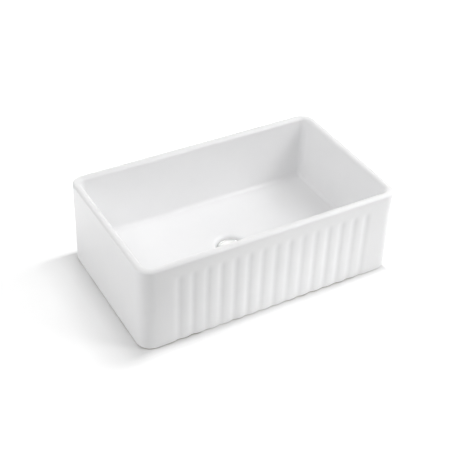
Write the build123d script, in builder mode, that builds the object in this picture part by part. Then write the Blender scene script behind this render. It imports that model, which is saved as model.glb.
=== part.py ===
"""Fireclay farmhouse sink with a fluted apron and its basket strainer waste.

Millimetres. The origin is the centre of the base: +X runs along the sink to the right,
the apron faces -Y, and +Z is up. The sink stands on its foot at z = 0.
"""

import os
from math import atan, cos, pi, radians, sin, tan

from build123d import *

os.makedirs("parts", exist_ok=True)

# Outside of the bowl
sink_length = 762.0
sink_width = 457.2
sink_height = 254.0
corner_radius = 40.0
rim_outer_round = 9.0
foot_outer_round = 3.0

# Basin
rim_width = 22.0
rim_inner_round = 10.0
basin_corner_radius = 20.0
basin_draft = 1.2
basin_floor_round = 14.0
basin_floor_fall = 4.0
dish_corner_radius = 40.0

# Flutes of the apron
flute_pitch = 40.0
flute_hollow_width = 14.0
flute_depth = 2.6
flute_top_below_rim = 32.0
flute_runout = 26.0
apron_margin = 80.0

# Floor slab and underside
slab_thickness = 22.0
foot_width = 30.0
hollow_draft = 8.0
hollow_corner_radius = 24.0
hollow_round = 8.0
foot_inner_round = 3.0

# Outlet in the floor
outlet_roll = 13.0
outlet_flat_margin = 6.0
recess_depth = 14.0
recess_clearance = 1.0
outlet_bore_clearance = 1.0
outlet_pad_drop = 4.0
outlet_pad_margin = 7.0

# Waste body, with its tail thread the standard 1 1/2 in size
tail_radius = 23.9
tail_wall = 2.5
tail_length = 8.0
tail_ground_gap = 2.0
cross_bar_width = 3.0
cross_bar_height = 4.0
cross_ring_radius = 7.0
cup_shoulder = 6.1
cup_wall = 2.0
cup_floor = 3.0
cup_mouth_round = 0.8
flange_width = 10.0
flange_thickness = 1.2
flange_lip = 1.4
flange_lip_width = 5.0
flange_lip_round = 0.9
seat_dish = 8.0
thread_below_nut = 1.5

# Rings and nut that clamp the waste
ring_clearance = 0.4
flange_gasket_thickness = 1.0
underside_gasket_width = 13.0
underside_gasket_thickness = 3.0
slip_washer_width = 12.0
slip_washer_thickness = 1.5
backnut_rim = 7.0
backnut_height = 8.0
backnut_lug_count = 8
backnut_lug_width = 9.0
backnut_lug_reach = 5.0
backnut_round = 1.0
thread_clearance = 0.05

# Strainer basket
basket_sheet = 0.8
basket_rim_clearance = 0.3
basket_wall_clearance = 6.4
basket_bend = 3.0
wall_hole_radius = 1.5
wall_hole_count = 20
wall_hole_rows = 2
wall_hole_row_pitch = 3.2
wall_hole_drop = 6.2
floor_hole_radius = 1.5
floor_hole_spacing = 5.6
floor_hole_ring_pitch = 5.0
floor_hole_hub_gap = 4.5
floor_hole_margin = 2.5

# Hub, post and knob
post_radius = 2.5
post_clearance = 0.08
hub_wall = 2.5
hub_flange_width = 1.8
hub_flange_height = 1.0
hub_height = 6.0
hub_groove_below_top = 2.2
catch_wire_radius = 0.45
catch_clearance = 0.1
catch_ring_arc = 320
post_groove_radius = 0.5
post_groove_depth = 0.35
knob_radius = 9.0
knob_height = 8.0
knob_neck_wall = 2.5
knob_neck_height = 3.0
knob_round = 2.4
knob_grip_depth = 5.0

# Stopper
stopper_travel = 6.0
seat_clearance = 0.1
stopper_clearance = 0.4
seal_overlap = 4.1
seal_thickness = 3.0
seal_lip_round = 1.0
plate_radius = 16.0
plate_thickness = 0.8
seal_washer_radius = 9.0
seal_washer_thickness = 0.8
nut_across_flats = 8.0
nut_height = 3.2
post_end_beyond_nut = 0.8

# Heights, stacked up from the ground: the clamped waste sets how high the basin's floor stands
tail_end_z = tail_ground_gap
cup_bottom_z = tail_end_z + tail_length
backnut_z = cup_bottom_z + thread_below_nut
slip_washer_z = backnut_z + backnut_height
underside_gasket_z = slip_washer_z + slip_washer_thickness
pad_z = underside_gasket_z + underside_gasket_thickness
underside_z = pad_z + outlet_pad_drop
basin_floor_z = underside_z + slab_thickness
floor_edge_z = basin_floor_z + basin_floor_fall
ledge_z = basin_floor_z - recess_depth
flange_z = ledge_z + flange_gasket_thickness
seat_z = flange_z + flange_thickness
lip_z = seat_z + flange_lip
seat_slope = tan(radians(seat_dish))
cup_floor_z = cup_bottom_z + cup_floor
flute_top_z = sink_height - flute_top_below_rim
flute_full_z = flute_top_z - flute_runout

# Heights of the stopper, standing on the floor of the cup, and of the basket over it
seal_z = cup_floor_z + seat_clearance
seal_washer_z = seal_z - seal_washer_thickness
nut_z = seal_washer_z - nut_height
post_end_z = nut_z - post_end_beyond_nut
plate_z = seal_z + seal_thickness
hub_z = plate_z + plate_thickness + stopper_travel + stopper_clearance
basket_floor_z = hub_z + hub_flange_height
basket_rim_z = seat_z + seat_clearance
hub_top_z = hub_z + hub_height
hub_groove_z = hub_top_z - hub_groove_below_top
knob_z = hub_top_z + stopper_clearance
knob_neck_z = knob_z + knob_neck_height
knob_top_z = knob_z + knob_height
post_top_z = knob_z + knob_grip_depth

# Radii of the waste, worked out from its tail
tail_bore_radius = tail_radius - tail_wall
cup_outer_radius = tail_radius + cup_shoulder
cup_bore_radius = cup_outer_radius - cup_wall
flange_radius = cup_outer_radius + flange_width
seat_radius = flange_radius - flange_lip_width
outlet_bore_radius = cup_outer_radius + outlet_bore_clearance
recess_radius = flange_radius + recess_clearance
ring_bore_radius = cup_outer_radius + ring_clearance
underside_gasket_radius = cup_outer_radius + underside_gasket_width
slip_washer_radius = cup_outer_radius + slip_washer_width
outlet_pad_radius = underside_gasket_radius + outlet_pad_margin
backnut_bore_radius = cup_outer_radius + thread_clearance
backnut_radius = cup_outer_radius + backnut_rim
seal_radius = tail_bore_radius + seal_overlap
basket_radius = cup_bore_radius - basket_wall_clearance
basket_inner_radius = basket_radius - basket_sheet
basket_rim_radius = seat_radius - basket_rim_clearance
hub_bore_radius = post_radius + post_clearance
hub_radius = post_radius + hub_wall
hub_flange_radius = hub_radius + hub_flange_width
catch_radius = post_radius + catch_clearance + catch_wire_radius
hub_groove_radius = catch_radius + catch_wire_radius + catch_clearance
hub_groove_half = catch_wire_radius + catch_clearance
knob_neck_radius = post_radius + knob_neck_wall

# Seat and basket rim, dished so that water runs inwards
seat_foot_z = seat_z - (seat_radius - cup_bore_radius) * seat_slope
rim_neck_z = basket_rim_z - (basket_rim_radius - basket_radius) * seat_slope
rim_mouth_z = basket_rim_z + basket_sheet - (basket_rim_radius - basket_inner_radius) * seat_slope

# Flutes: a hollow of half width a between ridges of half width b, all arcs tangent
flute_count = int((sink_length - 2 * apron_margin) // flute_pitch)
flute_row_length = flute_count * flute_pitch
hollow_half = flute_hollow_width / 2
ridge_half = (flute_pitch - flute_hollow_width) / 2
apron_y = -sink_width / 2


def flute_arcs(left_x, cut):
    """Draw one flute from crest to crest, cut deep in its middle, or straight if cut is 0."""
    rise = cut / (hollow_half + ridge_half)
    half_turn = atan(rise)
    ridge_radius = ridge_half / sin(2 * half_turn) if cut else 0
    side_y = apron_y + ridge_half * rise
    crest_in = (left_x, apron_y)
    hollow_in = (left_x + ridge_half, side_y)
    hollow_out = (hollow_in[0] + flute_hollow_width, side_y)
    crest_out = (left_x + flute_pitch, apron_y)
    if not cut:
        Polyline(crest_in, hollow_in, hollow_out, crest_out)
        return
    mid_x = ridge_radius * sin(half_turn)
    mid_y = apron_y + ridge_radius * (1 - cos(half_turn))
    ThreePointArc(crest_in, (crest_in[0] + mid_x, mid_y), hollow_in)
    ThreePointArc(hollow_in, (left_x + flute_pitch / 2, apron_y + cut), hollow_out)
    ThreePointArc(hollow_out, (crest_out[0] - mid_x, mid_y), crest_out)


def block_plan(z, cut):
    """Plan of the outside of the bowl at height z, with flutes cut that deep."""
    side_x = sink_length / 2
    back_y = sink_width / 2
    row_x = flute_row_length / 2
    straight_x = side_x - corner_radius
    straight_y = back_y - corner_radius
    with BuildSketch(Plane.XY.offset(z)) as plan:
        with BuildLine():
            Line((-straight_x, apron_y), (-row_x, apron_y))
            for index in range(flute_count):
                flute_arcs(-row_x + index * flute_pitch, cut)
            Line((row_x, apron_y), (straight_x, apron_y))
            CenterArc((straight_x, -straight_y), corner_radius, -90, 90)
            Line((side_x, -straight_y), (side_x, straight_y))
            CenterArc((straight_x, straight_y), corner_radius, 0, 90)
            Line((straight_x, back_y), (-straight_x, back_y))
            CenterArc((-straight_x, straight_y), corner_radius, 90, 90)
            Line((-side_x, straight_y), (-side_x, -straight_y))
            CenterArc((-straight_x, -straight_y), corner_radius, 180, 90)
        make_face()
    return plan.sketch


def save(piece, name):
    """Label a finished piece and write it."""
    piece.part.label = name
    export_step(piece.part, f"parts/{name}.step")


def ring(name, inner_radius, outer_radius, low_z, thickness):
    """Make and write a flat ring about the outlet's axis."""
    with BuildPart() as piece:
        with BuildSketch(Plane.XY.offset(low_z)):
            Circle(outer_radius)
            Circle(inner_radius, mode=Mode.SUBTRACT)
        extrude(amount=thickness)
    save(piece, name)


def turned(*outline):
    """Profile of a turned piece: straight runs between (radius, height) points, closed."""
    with BuildSketch(Plane.XZ) as profile:
        with BuildLine():
            Polyline(*outline, close=True)
        make_face()
    return profile.sketch


def circle_at(piece, radius, z):
    """The round edge of a piece that has this radius and height."""
    rings = piece.edges().filter_by(GeomType.CIRCLE)
    return rings.sort_by(lambda edge: abs(edge.radius - radius) + abs(edge.center().Z - z))[0]


# Fireclay bowl: fluted block, run-out of the flutes, plain band under the rim
with BuildPart() as sink_bowl:
    add(block_plan(0, flute_depth))
    extrude(amount=flute_full_z)
    add(block_plan(flute_full_z, flute_depth))
    add(block_plan(flute_top_z, 0))
    loft(ruled=True)
    add(block_plan(flute_top_z, 0))
    extrude(amount=sink_height - flute_top_z)
    fillet(sink_bowl.faces().sort_by(Axis.Z)[0].outer_wire().edges(), foot_outer_round)

    # Basin, drawn in from the rim to its floor
    with BuildSketch(Plane.XY.offset(sink_height)):
        RectangleRounded(sink_length - 2 * rim_width, sink_width - 2 * rim_width, basin_corner_radius)
    extrude(amount=-(sink_height - floor_edge_z), taper=basin_draft, mode=Mode.SUBTRACT)
    basin_edges = sink_bowl.edges(Select.LAST)
    fillet(basin_edges.group_by(Axis.Z)[0], basin_floor_round)
    rim_face = sink_bowl.faces().sort_by(Axis.Z)[-1]
    fillet(rim_face.outer_wire().edges(), rim_outer_round)
    rim_face = sink_bowl.faces().sort_by(Axis.Z)[-1]
    fillet(rim_face.inner_wires()[0].edges(), rim_inner_round)

    # Floor that falls from the walls to a flat about the outlet
    dish_inset = basin_floor_round + rim_width + (sink_height - floor_edge_z) * tan(radians(basin_draft))
    with BuildSketch(Plane.XY.offset(floor_edge_z)):
        RectangleRounded(
            sink_length - 2 * dish_inset, sink_width - 2 * dish_inset, dish_corner_radius
        )
    with BuildSketch(Plane.XY.offset(basin_floor_z)):
        Circle(recess_radius + outlet_roll + outlet_flat_margin)
    loft(ruled=True, mode=Mode.SUBTRACT)

    # Hollow underside between the floor slab and the foot
    with BuildSketch(Plane.XY):
        RectangleRounded(
            sink_length - 2 * foot_width, sink_width - 2 * foot_width, hollow_corner_radius
        )
    extrude(amount=underside_z, taper=hollow_draft, mode=Mode.SUBTRACT)
    hollow_edges = sink_bowl.edges(Select.LAST).group_by(Axis.Z)
    fillet(hollow_edges[-1], hollow_round)
    foot_face = sink_bowl.faces().sort_by(Axis.Z)[0]
    fillet(foot_face.inner_wires()[0].edges(), foot_inner_round)

    # Outlet: clamping pad below, stepped hole, rolled upper edge
    with BuildSketch(Plane.XY.offset(pad_z)):
        Circle(outlet_pad_radius)
    extrude(until=Until.NEXT)
    with Locations((0, 0, basin_floor_z)):
        CounterBoreHole(outlet_bore_radius, recess_radius, recess_depth)
    fillet(circle_at(sink_bowl, recess_radius, basin_floor_z), outlet_roll)

save(sink_bowl, "sink_bowl")

# Waste body: flange with a raised lip, threaded cup and outlet tail in one casting
with BuildPart() as waste_body:
    add(
        turned(
            (tail_bore_radius, tail_end_z),
            (tail_radius, tail_end_z),
            (tail_radius, cup_bottom_z),
            (cup_outer_radius, cup_bottom_z),
            (cup_outer_radius, flange_z),
            (flange_radius, flange_z),
            (flange_radius, lip_z),
            (seat_radius, lip_z),
            (seat_radius, seat_z),
            (cup_bore_radius, seat_foot_z),
            (cup_bore_radius, cup_floor_z),
            (tail_bore_radius, cup_floor_z),
        )
    )
    revolve(axis=Axis.Z)
    fillet(waste_body.faces().sort_by(Axis.Z)[-1].edges(), flange_lip_round)
    fillet(circle_at(waste_body, cup_bore_radius, seat_foot_z), cup_mouth_round)
    # Cross bars low in the tail, joined by a small ring
    with BuildSketch(Plane.XY.offset(tail_end_z)):
        Circle(cross_ring_radius)
        with PolarLocations(0, 2, angular_range=180):
            Rectangle(2 * tail_bore_radius + tail_wall, cross_bar_width)
        Circle(cross_ring_radius - cross_bar_width, mode=Mode.SUBTRACT)
    extrude(amount=cross_bar_height)

save(waste_body, "waste_body")

# Flat rings: seal under the flange, rubber under the bowl, slip washer on the nut
ring("flange_gasket", outlet_bore_radius, flange_radius, ledge_z, flange_gasket_thickness)
ring(
    "underside_gasket",
    ring_bore_radius,
    underside_gasket_radius,
    underside_gasket_z,
    underside_gasket_thickness,
)
ring("slip_washer", ring_bore_radius, slip_washer_radius, slip_washer_z, slip_washer_thickness)

# Backnut with lugs for a spanner or a hand
with BuildPart() as backnut:
    with BuildSketch(Plane.XY.offset(backnut_z)):
        Circle(backnut_radius)
        with PolarLocations(backnut_radius, backnut_lug_count):
            Rectangle(2 * backnut_lug_reach, backnut_lug_width)
        Circle(backnut_bore_radius, mode=Mode.SUBTRACT)
    extrude(amount=backnut_height)
    fillet(backnut.faces().sort_by(Axis.Z)[0].outer_wire().edges(), backnut_round)

save(backnut, "backnut")

# Perforated basket: pressed cup with a broad dished rim, holes in its wall and floor
with BuildPart() as strainer_basket:
    add(
        turned(
            (hub_radius, basket_floor_z),
            (basket_radius, basket_floor_z),
            (basket_radius, rim_neck_z),
            (basket_rim_radius, basket_rim_z),
            (basket_rim_radius, basket_rim_z + basket_sheet),
            (basket_inner_radius, rim_mouth_z),
            (basket_inner_radius, basket_floor_z + basket_sheet),
            (hub_radius, basket_floor_z + basket_sheet),
        )
    )
    revolve(axis=Axis.Z)
    fillet(circle_at(strainer_basket, basket_radius, basket_floor_z), basket_bend)
    inner_bend = circle_at(strainer_basket, basket_inner_radius, basket_floor_z + basket_sheet)
    fillet(inner_bend, basket_bend - basket_sheet)
    for row in range(wall_hole_rows):
        row_z = basket_rim_z - wall_hole_drop - row * wall_hole_row_pitch
        half_step = row * 180 / wall_hole_count
        with Locations((0, 0, row_z)):
            with PolarLocations(basket_radius, wall_hole_count, start_angle=half_step):
                Cylinder(wall_hole_radius, 4 * basket_sheet, rotation=(0, 90, 0), mode=Mode.SUBTRACT)
    first_ring = hub_radius + floor_hole_hub_gap
    last_ring = basket_radius - basket_bend - floor_hole_margin
    for index in range(1 + int((last_ring - first_ring) // floor_hole_ring_pitch)):
        ring_radius = first_ring + index * floor_hole_ring_pitch
        hole_count = int(2 * pi * ring_radius // floor_hole_spacing)
        with Locations((0, 0, basket_floor_z + basket_sheet)):
            with PolarLocations(ring_radius, hole_count):
                Hole(floor_hole_radius, depth=2 * basket_sheet)

save(strainer_basket, "strainer_basket")

# Hub: bush swaged into the floor of the basket, grooved inside for the catch ring
with BuildPart() as basket_hub:
    add(
        turned(
            (hub_bore_radius, hub_z),
            (hub_flange_radius, hub_z),
            (hub_flange_radius, basket_floor_z),
            (hub_radius, basket_floor_z),
            (hub_radius, hub_top_z),
            (hub_bore_radius, hub_top_z),
            (hub_bore_radius, hub_groove_z + hub_groove_half),
            (hub_groove_radius, hub_groove_z + hub_groove_half),
            (hub_groove_radius, hub_groove_z - hub_groove_half),
            (hub_bore_radius, hub_groove_z - hub_groove_half),
        )
    )
    revolve(axis=Axis.Z)

save(basket_hub, "basket_hub")

# Catch ring: round spring wire in the hub's groove, open on one side
with BuildPart() as catch_ring:
    with BuildSketch(Plane.XZ):
        with Locations((catch_radius, hub_groove_z)):
            Circle(catch_wire_radius)
    revolve(axis=Axis.Z, revolution_arc=catch_ring_arc)

save(catch_ring, "catch_ring")

# Post with two shallow grooves, one for each height of the stopper
with BuildPart() as stopper_post:
    with BuildSketch(Plane.XY.offset(post_end_z)):
        Circle(post_radius)
    extrude(amount=post_top_z - post_end_z)
    for groove_z in (hub_groove_z, hub_groove_z - stopper_travel):
        with BuildSketch(Plane.XZ):
            with Locations((post_radius - post_groove_depth + post_groove_radius, groove_z)):
                Circle(post_groove_radius)
        revolve(axis=Axis.Z, mode=Mode.SUBTRACT)

save(stopper_post, "stopper_post")

# Knob: turned mushroom on a short neck, pressed onto the post
with BuildPart() as stopper_knob:
    add(
        turned(
            (post_radius, knob_z),
            (knob_neck_radius, knob_z),
            (knob_neck_radius, knob_neck_z),
            (knob_radius, knob_neck_z),
            (knob_radius, knob_top_z),
            (0, knob_top_z),
            (0, post_top_z),
            (post_radius, post_top_z),
        )
    )
    revolve(axis=Axis.Z)
    fillet(circle_at(stopper_knob, knob_radius, knob_top_z), knob_round)

save(stopper_knob, "stopper_knob")

# Rubber seal with a rounded lip, and the plate, washer and nut that grip it
with BuildPart() as stopper_seal:
    with BuildSketch(Plane.XY.offset(seal_z)):
        Circle(seal_radius)
        Circle(post_radius, mode=Mode.SUBTRACT)
    extrude(amount=seal_thickness)
    fillet(circle_at(stopper_seal, seal_radius, plate_z), seal_lip_round)

save(stopper_seal, "stopper_seal")

ring("seal_plate", post_radius, plate_radius, plate_z, plate_thickness)
ring("seal_washer", post_radius, seal_washer_radius, seal_washer_z, seal_washer_thickness)

with BuildPart() as seal_nut:
    with BuildSketch(Plane.XY.offset(nut_z)):
        RegularPolygon(nut_across_flats / 2, 6, major_radius=False)
        Circle(post_radius, mode=Mode.SUBTRACT)
    extrude(amount=nut_height)

save(seal_nut, "seal_nut")
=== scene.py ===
"""Farmhouse sink in white glazed fireclay, with its strainer waste, dressed and lit for a studio picture.

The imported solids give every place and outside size. Each class below builds one sub-assembly
around them in metres, in the same frame: +X along the sink, the apron facing -Y, +Z up.
"""

import logging
import math
from dataclasses import dataclass
from enum import Enum

import bmesh
import bpy
import numpy as np
from mathutils import Euler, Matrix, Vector


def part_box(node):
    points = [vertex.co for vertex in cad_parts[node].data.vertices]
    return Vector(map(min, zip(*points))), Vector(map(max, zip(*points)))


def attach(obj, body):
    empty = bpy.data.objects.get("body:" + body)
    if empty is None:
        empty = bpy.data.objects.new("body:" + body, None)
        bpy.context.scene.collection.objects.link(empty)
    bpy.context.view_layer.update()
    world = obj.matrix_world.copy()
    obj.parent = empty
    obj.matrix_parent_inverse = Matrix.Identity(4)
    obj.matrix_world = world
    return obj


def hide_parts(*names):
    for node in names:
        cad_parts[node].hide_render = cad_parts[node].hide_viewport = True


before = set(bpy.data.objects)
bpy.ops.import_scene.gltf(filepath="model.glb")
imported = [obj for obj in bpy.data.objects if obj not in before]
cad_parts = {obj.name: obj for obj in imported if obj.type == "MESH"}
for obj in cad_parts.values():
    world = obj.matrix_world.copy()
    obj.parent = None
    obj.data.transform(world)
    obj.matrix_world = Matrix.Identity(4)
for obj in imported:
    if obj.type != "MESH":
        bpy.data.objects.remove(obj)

log = logging.getLogger("sink")

MM = 0.001
QUARTER = math.pi / 2
Point = tuple[float, float, float]
Outline = list[Point]

# The node types that come up most
MATH = "ShaderNodeMath"
VECTOR_MATH = "ShaderNodeVectorMath"
MIX = "ShaderNodeMix"
MAP_RANGE = "ShaderNodeMapRange"
NOISE = "ShaderNodeTexNoise"
BUMP = "ShaderNodeBump"
SPLIT = "ShaderNodeSeparateXYZ"
JOIN = "ShaderNodeCombineXYZ"
PRINCIPLED = "ShaderNodeBsdfPrincipled"
MOVE = "GeometryNodeSetPosition"

# The Mix node's inputs share their names, so they go by number, and so does its colour output
NUMBER_A, NUMBER_B = 2, 3
COLOUR_A, COLOUR_B = 6, 7
COLOUR_OUT = 2

# Points nearer than this are joined
WELD = 1e-7
# Radii nearer than this are the same
SAME_RADIUS = 1e-6
# Noise seldom leaves this span, so a map from it reaches both of its ends
NOISE_SPAN = {"From Min": 0.3, "From Max": 0.7}
# Rows of points for each pitch of a thread
THREAD_ROWS = 8


class Body(Enum):
    """The bodies that move on their own."""

    BOWL = "bowl"
    BASKET = "basket"
    STOPPER = "stopper"


class Slot(Enum):
    """The record's material slots."""

    GLAZE = "fireclay_glaze"
    STAINLESS = "stainless"
    SPRING = "spring_steel"
    BRASS = "brass"
    RUBBER = "black_rubber"
    WASHER = "white_washer"


class Turned(Enum):
    """How a metal surface was left by its maker, with the depth of its tool marks in metres."""

    POLISHED = 0.4e-6
    SATIN = 2.0e-6


def linear(code: str) -> tuple[float, float, float, float]:
    """Turn an sRGB hex colour into linear values.

    Args:
        code: Six hex digits, such as "F4F4F1".

    Returns:
        Red, green, blue and an alpha of 1.
    """
    shares = [int(code[at:at + 2], 16) / 255 for at in (0, 2, 4)]
    bent = [c / 12.92 if c <= 0.04045 else ((c + 0.055) / 1.055) ** 2.4 for c in shares]
    return (*bent, 1.0)


class Graph:
    """A node tree that is built in code."""

    def __init__(self, tree: bpy.types.NodeTree) -> None:
        """Take over a tree and empty it."""
        self.tree = tree
        tree.nodes.clear()

    def add(self, kind: str, inputs: dict | None = None, **settings) -> bpy.types.Node:
        """Add one node with its settings, values and links.

        Args:
            kind: The node's type.
            inputs: Values, sockets or nodes by input name or number. A node gives its first output.
            settings: Attributes of the node itself.

        Returns:
            The new node.
        """
        node = self.tree.nodes.new(kind)
        for name, value in settings.items():
            setattr(node, name, value)
        for key, value in (inputs or {}).items():
            if isinstance(value, bpy.types.Node):
                value = value.outputs[0]
            if isinstance(value, bpy.types.NodeSocket):
                self.tree.links.new(value, node.inputs[key])
            else:
                node.inputs[key].default_value = value
        return node


# ---------------------------------------------------------------- finishes


class Finish:
    """A surface finish that can make its own material."""

    title: str

    def material(self) -> bpy.types.Material:
        """Make the material, or return the one already made under this title."""
        made = bpy.data.materials.get(self.title)
        if made:
            return made
        made = bpy.data.materials.new(self.title)
        made.use_nodes = True
        make = Graph(made.node_tree)
        make.add("ShaderNodeOutputMaterial", {"Surface": self.shade(make)})
        return made

    def shade(self, make: Graph) -> bpy.types.Node:
        """Build the shader in the graph and return it."""
        raise NotImplementedError


@dataclass(frozen=True)
class FireclayGlaze(Finish):
    """White tin-opacified glaze fired on cast fireclay, bare clay under the foot.

    The glaze is opaque and glossy with a faint orange peel, and it wanders a little in
    roughness where it ran. On the rim's top the glaze is greyed by painted shade, which holds
    the rim darker, and it is duller there. Bare fireclay is buff, dry and sandy.
    It starts where the "bare" attribute and the slow noise together pass the glaze line.
    Low on the outer foot's rounding that dark clay is partly painted contact shadow.
    """

    title: str = "white_glaze_on_fireclay"
    white: str = "F6F6F6"
    cool: str = "F2F2F3"
    # Painted shade: the grey that darkens the rim's top
    thin: str = "EBEBEB"
    bare: str = "A89E90"
    bare_dark: str = "80776B"
    ior: float = 1.52
    drift_size: float = 90 * MM
    peel_size: float = 7 * MM
    peel_height: float = 0.012 * MM
    grit_size: float = 0.9 * MM
    grit_height: float = 0.12 * MM
    glaze_line: tuple[float, float] = (0.98, 1.02)
    smoothest: float = 0.30
    dullest: float = 0.36
    thin_roughness: float = 0.5
    clay_roughness: float = 0.9

    def shade(self, make: Graph) -> bpy.types.Node:
        """Build the glaze over the bare clay."""
        place = make.add("ShaderNodeTexCoord").outputs["Object"]
        # Bare clay share, which low on the outer foot is partly painted contact shadow
        bare_and_shade_share = make.add("ShaderNodeAttribute", attribute_name="bare").outputs["Fac"]
        # Share of the rim that takes the painted shade and the duller gloss
        thin_share = make.add("ShaderNodeAttribute", attribute_name="thin").outputs["Fac"]
        drift, peel, grit = (
            make.add(NOISE, {"Vector": place, "Scale": 1 / size, "Detail": detail})
            for size, detail in ((self.drift_size, 3.0), (self.peel_size, 2.0), (self.grit_size, 4.0))
        )
        bareness = make.add(MATH, {0: bare_and_shade_share, 1: drift}, operation="ADD")
        start, end = self.glaze_line
        clay = make.add(MAP_RANGE, {"Value": bareness, "From Min": start, "From Max": end})
        grains = {"Factor": grit, COLOUR_A: linear(self.bare_dark), COLOUR_B: linear(self.bare)}
        buff = make.add(MIX, grains, data_type="RGBA").outputs[COLOUR_OUT]
        tint = linear(self.white)
        # Cool drift, then painted shade on the rim's top, then bare clay
        for share, colour in ((drift, linear(self.cool)), (thin_share, linear(self.thin)), (clay, buff)):
            colours = {"Factor": share, COLOUR_A: tint, COLOUR_B: colour}
            tint = make.add(MIX, colours, data_type="RGBA").outputs[COLOUR_OUT]
        gloss = {"Value": drift, **NOISE_SPAN, "To Min": self.smoothest, "To Max": self.dullest}
        roughness = make.add(MAP_RANGE, gloss)
        for share, duller in ((thin_share, self.thin_roughness), (clay, self.clay_roughness)):
            dulled = {"Factor": share, NUMBER_A: roughness, NUMBER_B: duller}
            roughness = make.add(MIX, dulled, data_type="FLOAT")
        skin = make.add(BUMP, {"Height": peel, "Distance": self.peel_height})
        sand = {"Height": grit, "Distance": self.grit_height, "Strength": clay, "Normal": skin}
        relief = make.add(BUMP, sand)
        look = {"Base Color": tint, "Roughness": roughness, "IOR": self.ior, "Normal": relief}
        return make.add(PRINCIPLED, look)


@dataclass(frozen=True)
class TurnedMetal(Finish):
    """A metal turned or spun about the outlet's axis, so its fine marks run in rings.

    Real tool marks are too fine to show, so they are drawn deeper by the mark gain.
    """

    title: str
    colour: str
    stain: str
    roughness: float
    marks: Turned
    mark_size: float = 0.5 * MM
    mark_gain: float = 20.0
    mottle_size: float = 12 * MM
    roughness_span: tuple[float, float] = (0.8, 1.3)

    def shade(self, make: Graph) -> bpy.types.Node:
        """Build metal with ring marks and a slight mottle."""
        place = make.add("ShaderNodeTexCoord").outputs["Object"]
        level = make.add(VECTOR_MATH, {0: place, 1: (1.0, 1.0, 0.0)}, operation="MULTIPLY")
        radius = make.add(VECTOR_MATH, {0: level}, operation="LENGTH").outputs["Value"]
        height = make.add(SPLIT, {0: place}).outputs["Z"]
        along = make.add(MATH, {0: radius, 1: height}, operation="ADD")
        ring_marks = {"W": along, "Scale": 1 / self.mark_size, "Detail": 2.0}
        rings = make.add(NOISE, ring_marks, noise_dimensions="1D")
        mottle = make.add(NOISE, {"Vector": place, "Scale": 1 / self.mottle_size, "Detail": 4.0})
        colours = {"Factor": mottle, COLOUR_A: linear(self.colour), COLOUR_B: linear(self.stain)}
        tint = make.add(MIX, colours, data_type="RGBA").outputs[COLOUR_OUT]
        low, high = (self.roughness * share for share in self.roughness_span)
        roughness = make.add(MAP_RANGE, {"Value": mottle, **NOISE_SPAN, "To Min": low, "To Max": high})
        relief = make.add(BUMP, {"Height": rings, "Distance": self.marks.value * self.mark_gain})
        look = {"Base Color": tint, "Metallic": 1.0, "Roughness": roughness, "Normal": relief}
        return make.add(PRINCIPLED, look)


@dataclass(frozen=True)
class Moulded(Finish):
    """Rubber or plastic from a mould: even colour, faint cloudiness and a fine grained skin."""

    title: str
    colour: str
    bloom: str
    roughness: float
    ior: float
    cloud_size: float = 9 * MM
    skin_size: float = 0.8 * MM
    skin_height: float = 0.02 * MM
    roughness_span: tuple[float, float] = (0.9, 1.1)

    def shade(self, make: Graph) -> bpy.types.Node:
        """Build the moulded skin."""
        place = make.add("ShaderNodeTexCoord").outputs["Object"]
        cloud, skin = (
            make.add(NOISE, {"Vector": place, "Scale": 1 / size, "Detail": 3.0})
            for size in (self.cloud_size, self.skin_size)
        )
        colours = {"Factor": cloud, COLOUR_A: linear(self.colour), COLOUR_B: linear(self.bloom)}
        tint = make.add(MIX, colours, data_type="RGBA").outputs[COLOUR_OUT]
        low, high = (self.roughness * share for share in self.roughness_span)
        roughness = make.add(MAP_RANGE, {"Value": cloud, **NOISE_SPAN, "To Min": low, "To Max": high})
        relief = make.add(BUMP, {"Height": skin, "Distance": self.skin_height})
        look = {"Base Color": tint, "Roughness": roughness, "IOR": self.ior, "Normal": relief}
        return make.add(PRINCIPLED, look)


GLAZE = FireclayGlaze()
# Electropolished austenitic stainless: a bright neutral mirror
MIRROR_STEEL = TurnedMetal("polished_stainless_steel", "E2E2E2", "DADADA", 0.12, Turned.POLISHED)
# Pressed stainless sheet left satin: softer, wider highlights
SATIN_STEEL = TurnedMetal("satin_stainless_steel", "D6D6D5", "CCCCCB", 0.36, Turned.SATIN)
# Hard drawn spring wire: darker and plainer
SPRING_STEEL = TurnedMetal("drawn_spring_steel", "9A9893", "8C8A86", 0.36, Turned.SATIN)
# Cast and turned yellow brass with light tarnish
CAST_BRASS = TurnedMetal("cast_brass", "D2AE6A", "B9914F", 0.36, Turned.SATIN)
# Nitrile rubber from a mould: near black with a grey bloom
NITRILE = Moulded("moulded_nitrile_rubber", "1B1B1B", "2A2A29", 0.6, 1.52)
# Polyethylene: milky white, waxy
POLYTHENE = Moulded("moulded_polyethylene", "E4E3DC", "D9D8D0", 0.42, 1.51)


# ---------------------------------------------------------------- meshes


def placed(name: str, data: bpy.types.ID) -> bpy.types.Object:
    """Make an object of some data and link it to the scene."""
    made = bpy.data.objects.new(name, data)
    bpy.context.scene.collection.objects.link(made)
    return made


def ring_row(radius: np.ndarray | float, bearing: np.ndarray | float, z: np.ndarray | float) -> np.ndarray:
    """Points at these distances and bearings about the outlet's axis, and these heights."""
    return np.column_stack(np.broadcast_arrays(radius * np.cos(bearing), radius * np.sin(bearing), z))


def eased(share: np.ndarray) -> np.ndarray:
    """Ease a share that runs from 0 to 1, so that it starts and ends level."""
    return share * share * (3 - 2 * share)


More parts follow.
